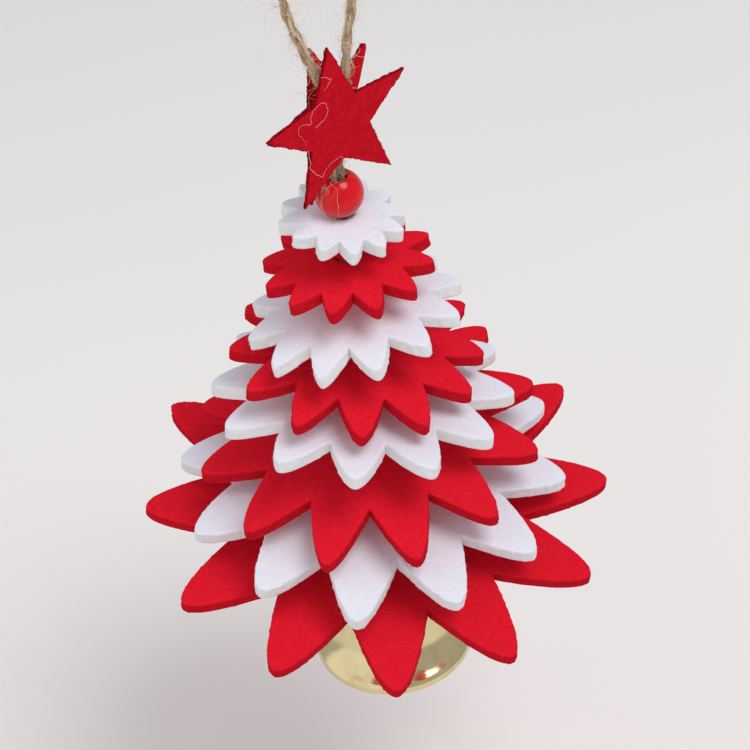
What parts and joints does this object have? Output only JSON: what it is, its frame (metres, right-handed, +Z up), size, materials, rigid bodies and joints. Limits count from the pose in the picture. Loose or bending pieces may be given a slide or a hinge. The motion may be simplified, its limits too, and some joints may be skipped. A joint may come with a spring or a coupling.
{
  "type": "hanging felt tree decoration",
  "caption": "Hanging Christmas tree of petalled red and white felt discs on a doubled jute twine, with wooden beads, felt stars at the top and a brass bell below.",
  "frame": {"origin": "under the top of the hanging loop, where a hook or a branch bears", "axes": "+Z up along the twine, -Y towards the viewer of the picture"},
  "size_m": [0.104, 0.103, 0.2025],
  "materials": {
    "red_felt": "matte wool-blend felt",
    "white_felt": "matte wool-blend felt",
    "jute": "two-ply natural jute with loose fibres",
    "red_paint": "gloss red paint on a wooden bead",
    "wood": "plain turned wood",
    "glue": "set hot-melt glue",
    "brass": "bright pale brass",
    "steel": "plain steel wire and ball"
  },
  "bodies": {
    "twine": {"hanging_loop": "jute", "stem_twine": "jute", "stop_knot": "jute", "front_star": "red_felt", "back_star": "red_felt", "glue_dab": "glue"},
    "red_bead": {"red_bead": "red_paint"},
    "disc_1": {"felt_disc_1": "white_felt"},
    "disc_2": {"felt_disc_2": "red_felt"},
    "disc_3": {"felt_disc_3": "white_felt"},
    "disc_4": {"felt_disc_4": "red_felt"},
    "disc_5": {"felt_disc_5": "white_felt"},
    "disc_6": {"felt_disc_6": "red_felt"},
    "disc_7": {"felt_disc_7": "white_felt"},
    "disc_8": {"felt_disc_8": "red_felt"},
    "spacer_1": {"spacer_bead_1": "wood"},
    "spacer_2": {"spacer_bead_2": "wood"},
    "spacer_3": {"spacer_bead_3": "wood"},
    "spacer_4": {"spacer_bead_4": "wood"},
    "spacer_5": {"spacer_bead_5": "wood"},
    "spacer_6": {"spacer_bead_6": "wood"},
    "spacer_7": {"spacer_bead_7": "wood"},
    "bell": {"bell_shell": "brass", "bell_hanger": "brass"},
    "clapper": {"clapper_rod": "steel", "clapper_ball": "steel"}
  },
  "joints": [
    {"name": "red_bead_slide", "type": "slide", "parent": "twine", "child": "red_bead", "axis": [0, 0, 1], "range_m": [0, 0.0035]},
    {"name": "disc_1_spin", "type": "hinge", "parent": "twine", "child": "disc_1", "pos_m": [0, 0, -0.07283], "axis": [0.1323, 0.0052, 0.9912], "continuous": true},
    {"name": "disc_2_spin", "type": "hinge", "parent": "twine", "child": "disc_2", "pos_m": [0, 0, -0.08429], "axis": [-0.0192, 0.0628, 0.9978], "continuous": true},
    {"name": "disc_3_spin", "type": "hinge", "parent": "twine", "child": "disc_3", "pos_m": [0, 0, -0.09571], "axis": [-0.0834, 0.0834, 0.993], "continuous": true},
    {"name": "disc_4_spin", "type": "hinge", "parent": "twine", "child": "disc_4", "pos_m": [0, 0, -0.10731], "axis": [0.1288, -0.0138, 0.9916], "continuous": true},
    {"name": "disc_5_spin", "type": "hinge", "parent": "twine", "child": "disc_5", "pos_m": [0, 0, -0.11897], "axis": [0.1164, 0.0727, 0.9905], "continuous": true},
    {"name": "disc_6_spin", "type": "hinge", "parent": "twine", "child": "disc_6", "pos_m": [0, 0, -0.13059], "axis": [0.0069, -0.1184, 0.9929], "continuous": true},
    {"name": "disc_7_spin", "type": "hinge", "parent": "twine", "child": "disc_7", "pos_m": [0, 0, -0.14219], "axis": [0.0659, -0.1078, 0.992], "continuous": true},
    {"name": "disc_8_spin", "type": "hinge", "parent": "twine", "child": "disc_8", "pos_m": [0, 0, -0.15399], "axis": [0.0669, -0.1767, 0.982], "continuous": true},
    {"name": "spacer_1_spin", "type": "hinge", "parent": "twine", "child": "spacer_1", "pos_m": [0, 0, -0.07866], "axis": [0, 0, 1], "continuous": true},
    {"name": "spacer_2_spin", "type": "hinge", "parent": "twine", "child": "spacer_2", "pos_m": [0, 0, -0.08993], "axis": [0, 0, 1], "continuous": true},
    {"name": "spacer_3_spin", "type": "hinge", "parent": "twine", "child": "spacer_3", "pos_m": [0, 0, -0.1015], "axis": [0, 0, 1], "continuous": true},
    {"name": "spacer_4_spin", "type": "hinge", "parent": "twine", "child": "spacer_4", "pos_m": [0, 0, -0.11313], "axis": [0, 0, 1], "continuous": true},
    {"name": "spacer_5_spin", "type": "hinge", "parent": "twine", "child": "spacer_5", "pos_m": [0, 0, -0.12481], "axis": [0, 0, 1], "continuous": true},
    {"name": "spacer_6_spin", "type": "hinge", "parent": "twine", "child": "spacer_6", "pos_m": [0, 0, -0.13638], "axis": [0, 0, 1], "continuous": true},
    {"name": "spacer_7_spin", "type": "hinge", "parent": "twine", "child": "spacer_7", "pos_m": [0, 0, -0.14799], "axis": [0, 0, 1], "continuous": true},
    {"name": "bell_swing", "type": "hinge", "parent": "twine", "child": "bell", "pos_m": [0, 0, -0.16914], "axis": [0.766, 0.6428, 0], "range_deg": [-45, 45]},
    {"name": "clapper_swing", "type": "hinge", "parent": "bell", "child": "clapper", "pos_m": [0, 0, -0.17927], "axis": [-0.6428, 0.766, 0], "range_deg": [-36, 36]}
  ]
}
